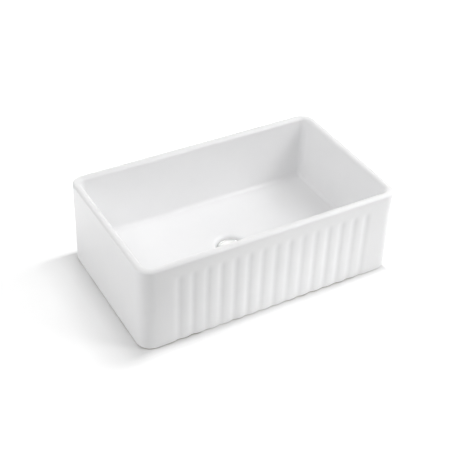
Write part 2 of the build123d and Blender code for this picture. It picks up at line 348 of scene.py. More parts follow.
def mesh_from_grid(name: str, rows: list[np.ndarray], closed_profile: bool) -> bpy.types.Object:
    """Skin closed rows of points with quads.

    Args:
        name: Name of the new object.
        rows: Arrays of points, all of one length, each a closed line round the piece.
        closed_profile: Whether the last row joins the first; if not, both ends are capped.

    Returns:
        The new object, linked to the scene, with faces pointing outwards.
    """
    count, length = len(rows), len(rows[0])
    faces = []
    for row in range(count if closed_profile else count - 1):
        here, above = row * length, (row + 1) % count * length
        for at in range(length):
            beside = (at + 1) % length
            faces.append((here + at, here + beside, above + beside, above + at))
    if not closed_profile:
        faces.append(tuple(range(length - 1, -1, -1)))
        faces.append(tuple(range((count - 1) * length, count * length)))
    mesh = bpy.data.meshes.new(name)
    mesh.from_pydata(np.concatenate(rows).tolist(), [], faces)
    build = bmesh.new()
    build.from_mesh(mesh)
    bmesh.ops.remove_doubles(build, verts=build.verts, dist=WELD)
    bmesh.ops.recalc_face_normals(build, faces=build.faces)
    build.to_mesh(mesh)
    build.free()
    mesh.polygons.foreach_set("use_smooth", [True] * len(mesh.polygons))
    return placed(name, mesh)


def softened(outline: Outline, steps: int) -> list[Vector]:
    """Round the corners of a closed profile.

    Args:
        outline: Points of radius, height and rounding.
        steps: Segments in each rounded corner.

    Returns:
        Points of radius and height.
    """
    line = []
    for at, (radius, height, rounding) in enumerate(outline):
        corner = Vector((radius, height))
        if rounding <= 0:
            line.append(corner)
            continue
        before = (Vector(outline[at - 1][:2]) - corner).normalized()
        after = (Vector(outline[(at + 1) % len(outline)][:2]) - corner).normalized()
        half_opening = before.angle(after) / 2
        centre = corner + (before + after).normalized() * (rounding / math.sin(half_opening))
        first = corner + before * (rounding / math.tan(half_opening)) - centre
        last = corner + after * (rounding / math.tan(half_opening)) - centre
        start = math.atan2(first.y, first.x)
        sweep = math.remainder(math.atan2(last.y, last.x) - start, 2 * math.pi)
        for step in range(steps + 1):
            bearing = start + sweep * step / steps
            line.append(centre + Vector((math.cos(bearing), math.sin(bearing))) * rounding)
    return line


def spun(
    name: str, outline: Outline, segments: int = 96, steps: int = 5, finest: dict[float, float] | None = None
) -> bpy.types.Object:
    """Turn a closed profile about the outlet's axis.

    Args:
        name: Name of the new object.
        outline: Points of radius, height and rounding, closed.
        segments: Segments round the axis.
        steps: Segments in each rounded corner.
        finest: Longest segment allowed on upright runs, by their radius.

    Returns:
        The new object.
    """
    line = softened(outline, steps)
    full = []
    for here, beyond in zip(line, line[1:] + line[:1]):
        full.append(here)
        for radius, longest in (finest or {}).items():
            if abs(here.x - radius) < SAME_RADIUS and abs(beyond.x - radius) < SAME_RADIUS:
                parts = math.ceil((beyond - here).length / longest)
                full += [here.lerp(beyond, part / parts) for part in range(1, parts)]
    angles = np.linspace(0, 2 * math.pi, segments, endpoint=False)
    rows = [ring_row(spot.x, angles, spot.y) for spot in full]
    return mesh_from_grid(name, rows, closed_profile=True)


def flat_ring(
    name: str, bore: float, levels: Point, soft: float, segments: int = 96, steps: int = 5
) -> bpy.types.Object:
    """Make a flat ring with softened edges.

    Args:
        name: Name of the new object.
        bore: Its bore radius.
        levels: Its outside radius, lowest and highest point.
        soft: Rounding of its edges.
        segments: Segments round the axis.
        steps: Segments in each rounded edge.

    Returns:
        The new object.
    """
    radius, low, high = levels
    outline = [(bore, low, soft), (radius, low, soft), (radius, high, soft), (bore, high, soft)]
    return spun(name, outline, segments, steps)


class Recipe(Graph):
    """A Geometry Nodes modifier built in code, then turned into plain mesh.

    Where an input is given as text, and the text names a size or an earlier result, it stands for that.
    """

    def __init__(self, title: str, sizes: dict[str, float], finish: Finish) -> None:
        """Start the tree with one named input for each size.

        Args:
            title: Name of the tree.
            sizes: Values by input name.
            finish: The finish that the tree sets at its end.
        """
        super().__init__(bpy.data.node_groups.new(title, "GeometryNodeTree"))
        self.sizes = sizes
        self.finish = finish
        face = self.tree.interface
        face.new_socket("Geometry", in_out="INPUT", socket_type="NodeSocketGeometry")
        for name in sizes:
            face.new_socket(name, in_out="INPUT", socket_type="NodeSocketFloat")
        face.new_socket("Geometry", in_out="OUTPUT", socket_type="NodeSocketGeometry")
        start = self.tree.nodes.new("NodeGroupInput")
        self.known = {socket.name: socket for socket in start.outputs if socket.name}

    def add(self, kind: str, inputs: dict | None = None, **settings) -> bpy.types.Node:
        """Add one node, with named sizes and results put in place of their names."""
        found = dict(inputs or {})
        for key, value in found.items():
            if isinstance(value, str):
                found[key] = self.known.get(value, value)
        return super().add(kind, found, **settings)

    def bake(self, piece: bpy.types.Object, shape: bpy.types.Node) -> bpy.types.Object:
        """End the tree at a shape, run it on a piece and keep the result as plain mesh.

        Args:
            piece: The object whose mesh goes in.
            shape: The node that gives the finished geometry.

        Returns:
            The same object with the new mesh and no modifier.
        """
        whole = self.add("GeometryNodeRealizeInstances", {"Geometry": shape})
        coat = {"Geometry": whole, "Material": self.finish.material()}
        self.add("NodeGroupOutput", {"Geometry": self.add("GeometryNodeSetMaterial", coat)})
        modifier = piece.modifiers.new(self.tree.name, "NODES")
        modifier.node_group = self.tree
        for socket in self.tree.interface.items_tree:
            if socket.in_out == "INPUT" and socket.name in self.sizes:
                modifier[socket.identifier] = self.sizes[socket.name]
        bpy.context.view_layer.update()
        seen = piece.evaluated_get(bpy.context.evaluated_depsgraph_get())
        mesh = bpy.data.meshes.new_from_object(seen)
        piece.modifiers.remove(modifier)
        piece.data = mesh
        return piece


def hand_over(
    piece: bpy.types.Object, body: Body, slot: Slot, nodes: tuple[str, ...], finish: Finish | None
) -> None:
    """Dress a finished piece and tie it to the frame.

    Args:
        piece: The finished piece.
        body: The body that it rides on.
        slot: The material slot that it stands for. It is not used.
        nodes: The solids that it replaces.
        finish: Its finish, or None if its mesh already has one.
    """
    if finish:
        piece.data.materials.clear()
        piece.data.materials.append(finish.material())
    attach(piece, body.value)
    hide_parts(*nodes)
    log.info("%s: %d faces, on body %s", piece.name, len(piece.data.polygons), body.value)


# ---------------------------------------------------------------- the bowl


@dataclass
class SinkBowl:
    """The fireclay bowl: apron, walls, rim, basin, outlet, foot and hollow underside.

    Its mesh is laid in rows, each a closed line round the bowl. They run up the outer wall, over the
    rim, down into the outlet and out along the underside to the foot. The fields whose names end in
    rows or columns are counts of them, and those that end in hold are gaps between a rounding and
    the first row beyond it.
    """

    corner: float = 40 * MM
    rim_width: float = 22 * MM
    rim_outer_round: float = 9 * MM
    rim_outer_drop: float = 7 * MM
    rim_inner_round: float = 11 * MM
    basin_corner: float = 20 * MM
    basin_draft: float = math.radians(1.2)
    basin_floor_round: float = 14 * MM
    floor_edge_z: float = 54 * MM
    floor_z: float = 50 * MM
    floor_squareness: float = 4.0
    outlet_flat: float = 60 * MM
    outlet_roll: float = 13 * MM
    recess_radius: float = 41 * MM
    recess_ease: float = 0.3 * MM
    ledge_z: float = 36 * MM
    bore_radius: float = 31 * MM
    pad_radius: float = 50 * MM
    pad_z: float = 24 * MM
    underside_z: float = 28 * MM
    hollow_round: float = 8 * MM
    hollow_corner: float = 24 * MM
    hollow_draft: float = math.radians(8)
    least_corner: float = 2 * MM
    foot_width: float = 30 * MM
    foot_round: float = 3.6 * MM
    # How fast the dark bare band, partly painted contact shadow, falls away up the foot's rounding
    bare_and_shade_fall: float = 0.45
    edge_round: float = 1.2 * MM
    edge_middle: float = 0.3
    flute_pitch: float = 40 * MM
    flute_count: int = 15
    flute_hollow: float = 12.5 * MM
    flute_depth: float = 2.8 * MM
    flute_below_rim: float = 32 * MM
    flute_runout: float = 26 * MM
    wander: float = 0.3 * MM
    wander_size: float = 160 * MM
    wander_inward: float = 0.8
    still_edge: float = 30 * MM
    still_outlet: float = 60 * MM
    flute_columns: int = 20
    margin_columns: int = 4
    back_columns: int = 48
    side_columns: int = 36
    corner_columns: int = 12
    foot_rows: int = 5
    rim_rows: int = 9
    round_rows: int = 12
    wall_rows: tuple[int, int, int] = (12, 18, 4)
    wall_first_z: float = 12 * MM
    wall_gap: float = 4 * MM
    wall_hold: float = 1.5 * MM
    basin_rows: int = 13
    basin_hold: float = 2 * MM
    floor_rows: int = 18
    floor_shares: tuple[float, float] = (0.012, 0.06)
    outlet_holds: tuple[float, float] = (3 * MM, 0.6 * MM)
    slab_rows: int = 10
    hollow_rows: int = 7
    foot_shares: tuple[float, float] = (0.35, 0.7)

    def __post_init__(self) -> None:
        """Take the outside size from the frame and lay out the columns round the bowl."""
        low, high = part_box("sink_bowl")
        self.half_x = (high.x - low.x) / 2
        self.half_y = (high.y - low.y) / 2
        self.height = high.z
        row_share = self.flute_count * self.flute_pitch / 2 / (self.half_x - self.corner)
        margin = np.linspace(-1, -row_share, self.margin_columns, endpoint=False)
        row = np.linspace(-row_share, row_share, self.flute_count * self.flute_columns + 1)
        front = np.concatenate((margin, row, -margin[::-1]))
        back = np.linspace(1, -1, self.back_columns + 1)
        side = np.linspace(-1, 1, self.side_columns + 1)
        turn = np.linspace(0, QUARTER, self.corner_columns + 1)[1:-1]
        # Place along X and Y between the corners' centres, and bearing from the nearest of them
        runs = (
            (front, -1.0, -QUARTER),
            (1.0, -1.0, turn - QUARTER),
            (1.0, side, 0.0),
            (1.0, 1.0, turn),
            (back, 1.0, QUARTER),
            (-1.0, 1.0, turn + QUARTER),
            (-1.0, -side, math.pi),
            (-1.0, -1.0, turn + math.pi),
        )
        columns = zip(*(np.broadcast_arrays(*run) for run in runs))
        self.at_x, self.at_y, self.angle = (np.concatenate(parts) for parts in columns)
        self.edge = np.zeros((0, 3))
        self.rows: list[np.ndarray] = []
        self.shares: dict[str, list[float]] = {"apron": [], "bare": [], "thin": []}

    def lay(self, points: np.ndarray, **shares: float) -> None:
        """Keep one row of points.

        Args:
            points: The row.
            shares: From 0 to 1, apron where flutes may be cut, bare where there is no glaze (low on
            the outer foot partly painted contact shadow), and the rim's share, where painted shade
            greys the rim's top and the glaze is duller. Each is 0 if it isn't given.
        """
        self.rows.append(points)
        for name, values in self.shares.items():
            values.append(shares.get(name, 0.0))

    def level(self, inset: float, corner: float, z: float) -> np.ndarray:
        """Points of a level line: a rectangle with round corners, measured in from the outside."""
        x = self.at_x * (self.half_x - inset - corner) + corner * np.cos(self.angle)
        y = self.at_y * (self.half_y - inset - corner) + corner * np.sin(self.angle)
        return np.column_stack((x, y, np.full(len(x), z)))

    def outside(self, inset: float, z: float) -> np.ndarray:
        """A level line of the outer wall, drawn in by an inset."""
        return self.level(inset, self.corner - inset, z)

    def inside(self, inset: float, z: float) -> np.ndarray:
        """A level line of the basin, measured in from the outside."""
        return self.level(inset, max(self.basin_corner - (inset - self.rim_width), self.least_corner), z)

    def below(self, inset: float, z: float) -> np.ndarray:
        """A level line of the hollow underside, measured in from the outside."""
        return self.level(inset, max(self.hollow_corner - (inset - self.foot_width), self.least_corner), z)

    def circle(self, radius: float, z: float) -> np.ndarray:
        """A level circle about the outlet whose columns line up with the edge of the basin's floor."""
        spread = np.abs(self.edge[:, :2]).max(axis=0)
        return ring_row(radius, np.arctan2(self.edge[:, 1] / spread[1], self.edge[:, 0] / spread[0]), z)

    def lay_outer_wall(self) -> None:
        """Lay the foot's edge, the outer wall and the rounded rim."""
        # Bare clay low on the outer foot's rounding: partly the unglazed foot, partly painted contact shadow
        # along the floor
        for angle in np.linspace(0, QUARTER, self.foot_rows):
            inset = self.foot_round * (1 - math.sin(angle))
            z = self.foot_round * (1 - math.cos(angle))
            self.lay(self.outside(inset, z), apron=1.0, bare=1.0 - self.bare_and_shade_fall * angle)
        run_top = self.height - self.flute_below_rim
        run_end = run_top - self.flute_runout
        rim_start = self.height - self.rim_outer_drop
        gap = self.wall_gap
        plain, fading, band = self.wall_rows
        heights = (
            self.foot_round + self.wall_hold,
            *np.linspace(self.wall_first_z, run_end - 2 * gap, plain),
            *np.linspace(run_end - gap, run_top + gap, fading),
            *np.linspace(run_top + 2 * gap, rim_start - self.wall_hold, band),
        )
        for z in heights:
            self.lay(self.outside(0, z), apron=1.0)
        # Painted shade on the rim: its share grows over the outer rounding to the crown
        for angle in np.linspace(0, QUARTER, self.rim_rows):
            inset = self.rim_outer_round * (1 - math.cos(angle))
            z = rim_start + self.rim_outer_drop * math.sin(angle)
            self.lay(self.outside(inset, z), apron=1.0, thin=math.sin(angle) ** 2)

    def lay_basin(self) -> None:
        """Lay the inner edge of the rim, the basin's walls and its falling floor."""
        flat_end = self.rim_width - self.rim_inner_round
        # Painted shade on the rim: its share fades down the inner rounding
        for angle in np.linspace(0, QUARTER - self.basin_draft, self.rim_rows):
            inset = flat_end + self.rim_inner_round * math.sin(angle)
            z = self.height - self.rim_inner_round * (1 - math.cos(angle))
            self.lay(self.inside(inset, z), thin=math.cos(angle) ** 2)
        slope = math.tan(self.basin_draft)
        wall_top = self.height - self.rim_inner_round
        wall_foot = self.floor_edge_z + self.basin_floor_round
        for z in np.linspace(wall_top - self.wall_hold, wall_foot + self.basin_hold, self.basin_rows):
            self.lay(self.inside(self.rim_width + (self.height - z) * slope, z))
        foot_inset = self.rim_width + (self.height - wall_foot) * slope
        for angle in np.linspace(0, QUARTER, self.round_rows):
            inset = foot_inset + self.basin_floor_round * (1 - math.cos(angle))
            self.lay(self.inside(inset, wall_foot - self.basin_floor_round * math.sin(angle)))
        self.edge = self.rows[-1]
        flat = self.circle(self.outlet_flat, self.floor_z)
        first, second = self.floor_shares
        for share in (first, *np.linspace(second, 1, self.floor_rows)):
            row = self.edge + (flat - self.edge) * share
            row[:, 2] = self.floor_height(row)
            self.lay(row)

    def floor_height(self, row: np.ndarray) -> np.ndarray:
        """Height of the basin's floor, which falls smoothly to the flat about the outlet.

        Its level lines lie between an ellipse, at a squareness of 2, and a rectangle.

        Args:
            row: Points over the floor.

        Returns:
            A height for each point of the row.
        """
        spread = np.abs(self.edge[:, :2]).max(axis=0)
        power = self.floor_squareness
        out = ((np.abs(row[:, :2]) / spread) ** power).sum(axis=1) ** (1 / power)
        flat = self.outlet_flat / spread[1]
        rise = np.clip((out - flat) / (1 - flat), 0, 1)
        return self.floor_z + (self.floor_edge_z - self.floor_z) * eased(rise)

    def lay_outlet(self) -> None:
        """Lay the rolled edge, the ledge for the flange, the bore and the pad below."""
        start = self.recess_radius + self.outlet_roll
        for hold in self.outlet_holds:
            self.lay(self.circle(start + hold, self.floor_z))
        for angle in np.linspace(0, QUARTER, self.round_rows):
            radius = start - self.outlet_roll * math.sin(angle)
            self.lay(self.circle(radius, self.floor_z - self.outlet_roll * (1 - math.cos(angle))))
        # Each edge is eased by three points: its two ends and one between them
        ease, soft, middle = self.recess_ease, self.edge_round, self.edge_middle * self.edge_round
        glazed = (
            (self.recess_radius - ease, self.ledge_z + ease),
            (self.recess_radius - soft, self.ledge_z),
            (self.bore_radius + soft, self.ledge_z),
            (self.bore_radius + middle, self.ledge_z - middle),
            (self.bore_radius, self.ledge_z - soft),
            (self.bore_radius, self.pad_z + soft),
            (self.bore_radius + middle, self.pad_z + middle),
            (self.bore_radius + soft, self.pad_z),
        )
        bare = (
            (self.pad_radius - soft, self.pad_z),
            (self.pad_radius - middle, self.pad_z + middle),
            (self.pad_radius, self.pad_z + soft),
            (self.pad_radius, self.underside_z - soft),
            (self.pad_radius + middle, self.underside_z - middle),
            (self.pad_radius + soft, self.underside_z),
        )
        for path, share in ((glazed, 0.0), (bare, 1.0)):
            for radius, z in path:
                self.lay(self.circle(radius, z), bare=share)

    def lay_underside(self) -> None:
        """Lay the slab's underside, the hollow's wall and the flat of the foot."""
        slope = math.tan(self.hollow_draft)
        corner_z = self.underside_z - self.hollow_round
        wall_inset = self.foot_width + corner_z * slope
        rim = self.below(wall_inset + self.hollow_round, self.underside_z)
        hub = self.circle(self.pad_radius + self.edge_round, self.underside_z)
        for share in np.linspace(0, 1, self.slab_rows)[1:]:
            self.lay(hub + (rim - hub) * share, bare=1.0)
        for angle in np.linspace(0, QUARTER, self.hollow_rows)[1:]:
            inset = wall_inset + self.hollow_round * (1 - math.sin(angle))
            self.lay(self.below(inset, corner_z + self.hollow_round * math.cos(angle)), bare=1.0)
        self.lay(self.below(self.foot_width + self.foot_round * slope, self.foot_round), bare=1.0)
        for angle in np.linspace(0, QUARTER, self.foot_rows)[1:]:
            inset = self.foot_width - self.foot_round * (1 - math.cos(angle))
            self.lay(self.below(inset, self.foot_round * (1 - math.sin(angle))), bare=1.0)
        inner, outer = self.below(self.foot_width - self.foot_round, 0), self.outside(self.foot_round, 0)
        for share in self.foot_shares:
            self.lay(inner + (outer - inner) * share, bare=1.0)

    def cut_flutes(self, piece: bpy.types.Object) -> bpy.types.Object:
        """Cut the row of flutes into the apron and let the walls wander as cast clay does.

        Each flute is a hollow arc between two ridge arcs, tangent to them and to the apron,
        so its depth at a distance from its middle line follows from the arcs' radii.

        Args:
            piece: The plain bowl, with its float attributes "apron" and "free" on its points.

        Returns:
            The bowl with plain mesh.
        """
        sizes = {
            "Pitch": self.flute_pitch,
            "Row Length": self.flute_pitch * self.flute_count,
            "Hollow Half": self.flute_hollow / 2,
            "Depth": self.flute_depth,
            "Top": self.height - self.flute_below_rim,
            "Run-out": self.flute_runout,
            "Wander": self.wander,
            "Wander Size": self.wander_size,
        }
        make = Recipe("fluted_apron", sizes, GLAZE)
        place = make.add("GeometryNodeInputPosition")
        x, y, z = make.add(SPLIT, {0: place}).outputs
        arcs = [
            # The arcs all turn through one angle, which their pitch and depth give
            ("half pitch", "MULTIPLY", "Pitch", 0.5),
            ("ridge half", "SUBTRACT", "half pitch", "Hollow Half"),
            ("rise", "DIVIDE", "Depth", "half pitch"),
            ("half turn", "ARCTANGENT", "rise"),
            ("turn", "MULTIPLY", "half turn", 2.0),
            ("bend", "SINE", "turn"),
            ("hollow radius", "DIVIDE", "Hollow Half", "bend"),
            ("ridge radius", "DIVIDE", "ridge half", "bend"),
            # Distance from the middle line of the nearest flute, and from the crest beside it
            ("half row", "MULTIPLY", "Row Length", 0.5),
            ("from left", "ADD", x, "half row"),
            ("flutes", "DIVIDE", "from left", "Pitch"),
            ("part", "FRACT", "flutes"),
            ("centred", "SUBTRACT", "part", 0.5),
            ("off", "ABSOLUTE", "centred"),
            ("off line", "MULTIPLY", "off", "Pitch"),
            ("off crest", "SUBTRACT", "half pitch", "off line"),
        ]
        for arc, distance in (("hollow", "off line"), ("ridge", "off crest")):
            arcs += [
                # Sagitta of the arc at that distance
                ("square", "POWER", distance, 2.0),
                ("whole", "POWER", f"{arc} radius", 2.0),
                ("rest", "SUBTRACT", "whole", "square"),
                ("leg", "SQRT", "rest"),
                (f"{arc} sag", "SUBTRACT", f"{arc} radius", "leg"),
            ]
        arcs += [
            ("in hollow", "SUBTRACT", "Depth", "hollow sag"),
            ("near", "LESS_THAN", "off line", "Hollow Half"),
            # Nothing outside the row, and where the run-out ends
            ("away", "ABSOLUTE", x),
            ("in row", "LESS_THAN", "away", "half row"),
            ("at front", "LESS_THAN", y, 0.0),
            ("run end", "SUBTRACT", "Top", "Run-out"),
            ("wander scale", "DIVIDE", 1.0, "Wander Size"),
        ]
        for name, operation, *terms in arcs:
            make.known[name] = make.add(MATH, dict(enumerate(terms)), operation=operation)
        sags = {"Factor": "near", NUMBER_A: "ridge sag", NUMBER_B: "in hollow"}
        cut = make.add(MIX, sags, data_type="FLOAT")
        run_out = {"Value": z, "From Min": "Top", "From Max": "run end"}
        fade = make.add(MAP_RANGE, run_out, interpolation_type="SMOOTHSTEP")
        apron, free = (
            make.add("GeometryNodeInputNamedAttribute", {"Name": name}, data_type="FLOAT")
            for name in ("apron", "free")
        )
        drift = make.add(NOISE, {"Vector": place, "Scale": "wander scale", "Detail": 1.0})
        amounts = (
            ("depth", "MULTIPLY", cut, fade),
            ("depth", "MULTIPLY", "depth", "in row"),
            ("depth", "MULTIPLY", "depth", "at front"),
            ("depth", "MULTIPLY", "depth", apron),
            # Slow wander of cast walls, mostly inwards, none at the foot, the rim's top and the outlet
            ("swing", "SUBTRACT", drift, self.wander_inward),
            ("swing", "MULTIPLY", "swing", "Wander"),
            ("swing", "MULTIPLY", "swing", free),
        )
        for name, operation, *terms in amounts:
            make.known[name] = make.add(MATH, dict(enumerate(terms)), operation=operation)
        shift = make.add(JOIN, {"Y": "depth"})
        fluted = make.add(MOVE, {"Geometry": "Geometry", "Offset": shift})
        facing = make.add("GeometryNodeInputNormal")
        offset = make.add(VECTOR_MATH, {0: facing, "Scale": "swing"}, operation="SCALE")
        return make.bake(piece, make.add(MOVE, {"Geometry": fluted, "Offset": offset}))

    def build(self) -> bpy.types.Object:
        """Build the whole bowl.

        Returns:
            The finished piece.
        """
        self.lay_outer_wall()
        self.lay_basin()
        self.lay_outlet()
        self.lay_underside()
        piece = mesh_from_grid("fireclay_bowl", self.rows, closed_profile=True)
        points = np.concatenate(self.rows)
        middle = np.hypot(*points[:, :2].T)
        rim_gap = np.clip((self.height - points[:, 2]) / self.still_edge, 0, 1)
        foot_gap = np.clip(points[:, 2] / self.still_edge, 0, 1)
        outlet_gap = np.clip((middle - self.outlet_flat) / self.still_outlet, 0, 1)
        fields = {name: np.repeat(values, len(self.rows[0])) for name, values in self.shares.items()}
        fields["free"] = rim_gap * foot_gap * outlet_gap
        for name, values in fields.items():
            field = piece.data.attributes.new(name, "FLOAT", "POINT")
            field.data.foreach_set("value", values.astype(np.float32))
        return self.cut_flutes(piece)


# ---------------------------------------------------------------- the waste set


def node_levels(node: str) -> Point:
    """Outside radius, lowest and highest point of a turned solid."""
    low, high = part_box(node)
    return max(high.x, high.y), low.z, high.z


@dataclass
class Thread:
    """A screw thread of one start cut into a turned piece.

    The flank runs between two shares of a pitch, and flats are left on the crest and the root.
    """

    radius: float
    pitch: float
    depth: float
    low: float
    high: float
    flank: tuple[float, float] = (0.06, 0.44)
    slack: float = 0.01 * MM

    def cut(self, piece: bpy.types.Object, finish: Finish) -> bpy.types.Object:
        """Cut the thread into the points of a piece that lie at its radius.

        Args:
            piece: A turned piece with fine rows over the thread's length.
            finish: The piece's finish.

        Returns:
            The same piece with the thread.
        """
        sizes = {
            "Radius": self.radius,
            "Pitch": self.pitch,
            "Depth": self.depth,
            "Low": self.low,
            "High": self.high,
        }
        make = Recipe(f"thread_{piece.name}_{self.radius / MM:.0f}", sizes, finish)
        x, y, z = make.add(SPLIT, {0: make.add("GeometryNodeInputPosition")}).outputs
        level = make.add(JOIN, {"X": x, "Y": y})
        reach = make.add(VECTOR_MATH, {0: level}, operation="LENGTH").outputs["Value"]
        windings = (
            ("bearing", "ARCTAN2", y, x),
            ("turns", "DIVIDE", "bearing", 2 * math.pi),
            ("climb", "DIVIDE", z, "Pitch"),
            ("phase", "SUBTRACT", "climb", "turns"),
            ("from crest", "PINGPONG", "phase", 0.5),
            ("above low", "SUBTRACT", z, "Low"),
            ("above high", "SUBTRACT", z, "High"),
            ("below high", "MULTIPLY", "above high", -1.0),
            ("miss", "SUBTRACT", reach, "Radius"),
            ("miss", "ABSOLUTE", "miss"),
            ("on wall", "LESS_THAN", "miss", self.slack),
        )
        for name, operation, *terms in windings:
            make.known[name] = make.add(MATH, dict(enumerate(terms)), operation=operation)
        start, end = self.flank
        groove = make.add(MAP_RANGE, {"Value": "from crest", "From Min": start, "From Max": end})
        # Run-in over one pitch at either end
        run_in, run_off = (
            make.add(MAP_RANGE, {"Value": gap, "From Min": 0.0, "From Max": "Pitch"})
            for gap in ("above low", "below high")
        )
        amounts = (
            ("cut", "MULTIPLY", groove, run_in),
            ("cut", "MULTIPLY", "cut", run_off),
            ("cut", "MULTIPLY", "cut", "on wall"),
            ("cut", "MULTIPLY", "cut", "Depth"),
            ("inward", "MULTIPLY", "cut", -1.0),
        )
        for name, operation, *terms in amounts:
            make.known[name] = make.add(MATH, dict(enumerate(terms)), operation=operation)
        outward = make.add(VECTOR_MATH, {0: level}, operation="NORMALIZE")
        offset = make.add(VECTOR_MATH, {0: outward, "Scale": "inward"}, operation="SCALE")
        return make.bake(piece, make.add(MOVE, {"Geometry": "Geometry", "Offset": offset}))


@dataclass
class WasteSet:
    """What is clamped in the outlet for good: cup with flange, seals, slip washer and backnut."""

    tail_bore: float = 21.4 * MM
    tail_radius: float = 23.9 * MM
    cup_bottom: float = 10 * MM
    cup_bottom_round: float = 1.2 * MM
    cup_bore: float = 28 * MM
    cup_radius: float = 30 * MM
    cup_floor: float = 13 * MM
    cup_floor_round: float = 2 * MM
    flange_low: float = 37 * MM
    collar_round: float = 0.3 * MM
    seat_radius: float = 35 * MM
    seat_z: float = 38.2 * MM
    seat_slope: float = math.tan(math.radians(8))
    seat_round: float = 0.25 * MM
    mouth_round: float = 1.5 * MM
    lip_round: float = 0.9 * MM
    soft: float = 0.4 * MM
    bar_width: float = 3 * MM
    bar_height: float = 4 * MM
    bar_crease: float = math.radians(40)
    cross_ring: float = 7 * MM
    tail_pitch: float = 2.309 * MM
    tail_depth: float = 1.2 * MM
    cup_pitch: float = 2 * MM
    cup_depth: float = 0.9 * MM
    cup_thread_gap: float = 1 * MM
    ring_bore: float = 30.4 * MM
    ring_round: float = 0.8 * MM
    slip_round: float = 0.4 * MM
    gasket_bore: float = 31 * MM
    gasket_round: float = 0.35 * MM
    nut_bore: float = 30.05 * MM
    nut_radius: float = 37 * MM
    nut_round: float = 1 * MM
    nut_lead_in: float = 0.6 * MM
    nut_rows: int = 6
    lug_count: int = 8
    lug_width: float = 9 * MM
    lug_flank: float = 1.6 * MM
    lug_columns: int = 30

    def waste_cup(self) -> bpy.types.Object:
        """The flanged cup with its two threads."""
        flange, low, lip = node_levels("waste_body")
        mouth_z = self.seat_z - (self.seat_radius - self.cup_bore) * self.seat_slope
        outline = [
            (self.tail_bore, low, self.soft),
            (self.tail_radius, low, 2 * self.soft),
            (self.tail_radius, self.cup_bottom, 0),
            (self.cup_radius, self.cup_bottom, self.cup_bottom_round),
            (self.cup_radius, self.flange_low, self.collar_round),
            (flange, self.flange_low, self.soft),
            (flange, lip, self.lip_round),
            (self.seat_radius, lip, self.lip_round),
            (self.seat_radius, self.seat_z, self.seat_round),
            (self.cup_bore, mouth_z, self.mouth_round),
            (self.cup_bore, self.cup_floor, self.cup_floor_round),
            (self.tail_bore, self.cup_floor, self.soft),
        ]
        pitches = {self.tail_radius: self.tail_pitch, self.cup_radius: self.cup_pitch}
        fine = {radius: pitch / THREAD_ROWS for radius, pitch in pitches.items()}
        cup = spun("waste_cup", outline, segments=128, finest=fine)
        tail = Thread(self.tail_radius, self.tail_pitch, self.tail_depth, low, self.cup_bottom)
        start, end = self.cup_bottom + self.cup_bottom_round, self.flange_low - self.cup_thread_gap
        body = Thread(self.cup_radius, self.cup_pitch, self.cup_depth, start, end)
        return body.cut(tail.cut(cup, MIRROR_STEEL), MIRROR_STEEL)

    def cross_bars(self) -> bpy.types.Object:
        """Two bars across the tail, joined by a ring, with softened edges."""
        low = node_levels("waste_body")[1]
        size = Vector(((self.tail_bore + self.soft) * 2, self.bar_width, self.bar_height))
        build = bmesh.new()
        for turn in (0, QUARTER):
            bar = bmesh.ops.create_cube(build, size=1.0)["verts"]
            bmesh.ops.scale(build, vec=size, verts=bar)
            bmesh.ops.translate(build, vec=(0, 0, low + self.bar_height / 2), verts=bar)
            bmesh.ops.rotate(build, cent=(0, 0, 0), matrix=Euler((0, 0, turn)).to_matrix(), verts=bar)
        edges = build.edges[:]
        bmesh.ops.bevel(build, geom=edges, offset=self.soft, segments=3, affect="EDGES", profile=0.5)
        bmesh.ops.recalc_face_normals(build, faces=build.faces)
        mesh = bpy.data.meshes.new("waste_cross_bars")
        build.to_mesh(mesh)
        build.free()
        mesh.polygons.foreach_set("use_smooth", [True] * len(mesh.polygons))
        mesh.set_sharp_from_angle(angle=self.bar_crease)
        return placed("waste_cross_bars", mesh)

    def cross_hub(self) -> bpy.types.Object:
        """The small ring that joins the cross bars."""
        low = node_levels("waste_body")[1]
        levels = (self.cross_ring, low, low + self.bar_height)
        return flat_ring("waste_cross_hub", self.cross_ring - self.bar_width, levels, self.soft, segments=48)

    def backnut(self) -> bpy.types.Object:
        """The ring nut with lugs, cast and then turned on its faces."""
        reach, low, high = node_levels("backnut")
        angles = np.linspace(0, 2 * math.pi, self.lug_columns * self.lug_count, endpoint=False)
        step = 2 * math.pi / self.lug_count
        off = np.abs((angles + step / 2) % step - step / 2) * reach
        side = np.clip((self.lug_width / 2 - off) / self.lug_flank + 0.5, 0, 1)
        outer = self.nut_radius + (reach - self.nut_radius) * eased(side)
        bore, ease = self.nut_bore, self.nut_lead_in
        profile = [(bore + ease, low), (bore, low + ease), (bore, high - ease), (bore + ease, high)]
        rising = np.linspace(0, QUARTER, self.nut_rows)
        for face, way, turns in ((high, -1, rising), (low, 1, rising[::-1])):
            for angle in turns:
                radius = outer - self.nut_round * (1 - math.sin(angle))
                profile.append((radius, face + way * self.nut_round * (1 - math.cos(angle))))
        rows = [ring_row(radius, angles, z) for radius, z in profile]
        return mesh_from_grid("brass_backnut", rows, closed_profile=True)

